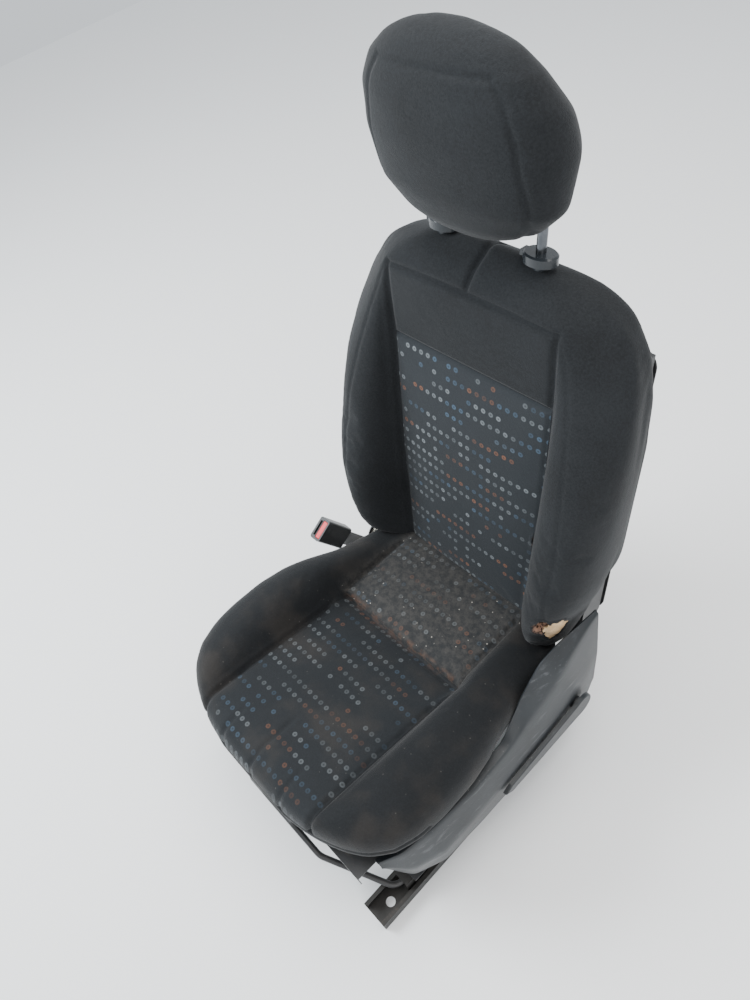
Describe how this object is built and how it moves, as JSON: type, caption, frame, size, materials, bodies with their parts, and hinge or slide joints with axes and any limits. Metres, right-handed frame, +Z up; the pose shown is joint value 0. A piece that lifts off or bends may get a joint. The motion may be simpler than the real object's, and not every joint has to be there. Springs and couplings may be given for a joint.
{
  "type": "car front seat",
  "caption": "Bolstered car front seat on sliding rails, with a reclining backrest, raised headrest on posts, side shield, towel bar and buckle stalk.",
  "frame": {"origin": "centre of the rectangle of floor bolt holes, on the underside of the lower rails", "axes": "+Z up, -Y the front of the seat, +X the occupant's left, which is the door side with the shield"},
  "size_m": [0.5345, 0.6462, 1.0716],
  "materials": {
    "rail_steel": "black paint, worn through to brown dirt and bare steel",
    "black_paint": "semi-gloss black paint",
    "frame_paint": "black electrophoretic paint",
    "zinc_steel": "zinc plated",
    "ball_steel": "ground, greased",
    "spring_wire": "phosphated wire",
    "post_steel": "dark satin grey",
    "strap_steel": "zinc plated, lightly brushed",
    "cage_plastic": "moulded, matte",
    "collar_plastic": "moulded, semi-gloss black",
    "shield_plastic": "fine-grained, dark blue-grey, scuffed",
    "buckle_plastic": "fine-grained black",
    "button_red": "moulded, semi-gloss red",
    "foam": "open-cell polyurethane foam",
    "cushion_cloth": "knitted cloth, dotted middle panel",
    "backrest_cloth": "knitted cloth, dotted middle panel",
    "headrest_cloth": "plain knitted cloth",
    "board_felt": "felt-faced fibreboard"
  },
  "bodies": {
    "floor_rails": {"lower_rail_door": "rail_steel", "lower_rail_tunnel": "rail_steel"},
    "ball_track": {"ball_cages": "cage_plastic", "track_balls": "ball_steel"},
    "seat_base": {"upper_rail_door": "rail_steel", "upper_rail_tunnel": "rail_steel", "latch_pins": "zinc_steel", "side_member_door": "frame_paint", "side_member_tunnel": "frame_paint", "rail_bolts": "zinc_steel", "front_cross_tube": "frame_paint", "rear_cross_tube": "frame_paint", "cushion_pan": "frame_paint", "cushion_springs": "spring_wire", "recliner_fixed_door": "zinc_steel", "recliner_fixed_tunnel": "zinc_steel", "cushion_foam": "foam", "cushion_cover": "cushion_cloth", "side_shield": "shield_plastic", "shield_clips": "cage_plastic", "lever_stud": "zinc_steel", "buckle_spacer": "zinc_steel", "buckle_bolt": "zinc_steel"},
    "bar_assembly": {"towel_bar": "black_paint", "latch_levers": "black_paint"},
    "backrest": {"back_side_member_door": "frame_paint", "back_side_member_tunnel": "frame_paint", "back_top_tube": "frame_paint", "guide_tubes": "frame_paint", "back_lower_panel": "frame_paint", "suspension_mat": "spring_wire", "recliner_moving_door": "zinc_steel", "recliner_moving_tunnel": "zinc_steel", "backrest_foam": "foam", "backrest_cover": "backrest_cloth", "back_board": "board_felt", "guide_sleeve_door": "collar_plastic", "guide_sleeve_tunnel": "collar_plastic"},
    "headrest": {"headrest_rod": "post_steel", "headrest_core": "cage_plastic", "headrest_foam": "foam", "headrest_cover": "headrest_cloth"},
    "button_door": {"release_button_door": "collar_plastic"},
    "button_tunnel": {"release_button_tunnel": "collar_plastic"},
    "lever_assembly": {"recline_lever": "shield_plastic", "lever_crank": "zinc_steel"},
    "link": {"release_link": "zinc_steel"},
    "shaft": {"release_shaft": "zinc_steel"},
    "buckle_stalk": {"buckle_strap": "strap_steel", "buckle_body": "buckle_plastic"},
    "buckle_press": {"buckle_button": "button_red"}
  },
  "joints": [
    {"name": "seat_slide", "type": "slide", "parent": "floor_rails", "child": "seat_base", "axis": [0, 1, 0], "range_m": [-0.05, 0.15]},
    {"name": "cage_roll", "type": "slide", "parent": "floor_rails", "child": "ball_track", "axis": [0, 1, 0], "range_m": [-0.025, 0.075]},
    {"name": "bar_drop", "type": "hinge", "parent": "seat_base", "child": "bar_assembly", "pos_m": [0, -0.02, 0.034], "axis": [1, 0, 0], "range_deg": [0, 3]},
    {"name": "backrest_recline", "type": "hinge", "parent": "seat_base", "child": "backrest", "pos_m": [0, 0.24, 0.195], "axis": [1, 0, 0], "range_deg": [-50, 4]},
    {"name": "headrest_height", "type": "slide", "parent": "backrest", "child": "headrest", "axis": [0, 0.1392, 0.9903], "range_m": [-0.015, 0.035]},
    {"name": "button_door_press", "type": "slide", "parent": "backrest", "child": "button_door", "axis": [1, 0, 0], "range_m": [0, 0.003], "stiffness_N_per_m": 600, "springref_m": -0.002},
    {"name": "button_tunnel_press", "type": "slide", "parent": "backrest", "child": "button_tunnel", "axis": [1, 0, 0], "range_m": [0, 0.003], "stiffness_N_per_m": 600, "springref_m": -0.002},
    {"name": "lever_lift", "type": "hinge", "parent": "seat_base", "child": "lever_assembly", "pos_m": [0.243, 0.208, 0.164], "axis": [1, 0, 0], "range_deg": [-22, 0], "stiffness_Nm_per_rad": 1.5, "springref_deg": 20.05},
    {"name": "link_turn", "type": "hinge", "parent": "lever_assembly", "child": "link", "pos_m": [0.2315, 0.1913, 0.18124], "axis": [1, 0, 0], "range_deg": [0, 22]},
    {"name": "shaft_turn", "type": "hinge", "parent": "seat_base", "child": "shaft", "pos_m": [0, 0.24, 0.195], "axis": [1, 0, 0], "range_deg": [-22, 0]},
    {"name": "buckle_swing", "type": "hinge", "parent": "seat_base", "child": "buckle_stalk", "pos_m": [-0.256, 0.205, 0.156], "axis": [1, 0, 0], "range_deg": [-15, 20]},
    {"name": "buckle_release", "type": "slide", "parent": "buckle_stalk", "child": "buckle_press", "axis": [0, -0.515, 0.8572], "range_m": [-0.005, 0], "stiffness_N_per_m": 800, "springref_m": 0.003}
  ],
  "couplings": [
    {"joint": "cage_roll", "follows": "seat_slide", "ratio": 0.5},
    {"joint": "link_turn", "follows": "lever_lift", "ratio": -1},
    {"joint": "shaft_turn", "follows": "lever_lift", "ratio": 1}
  ]
}
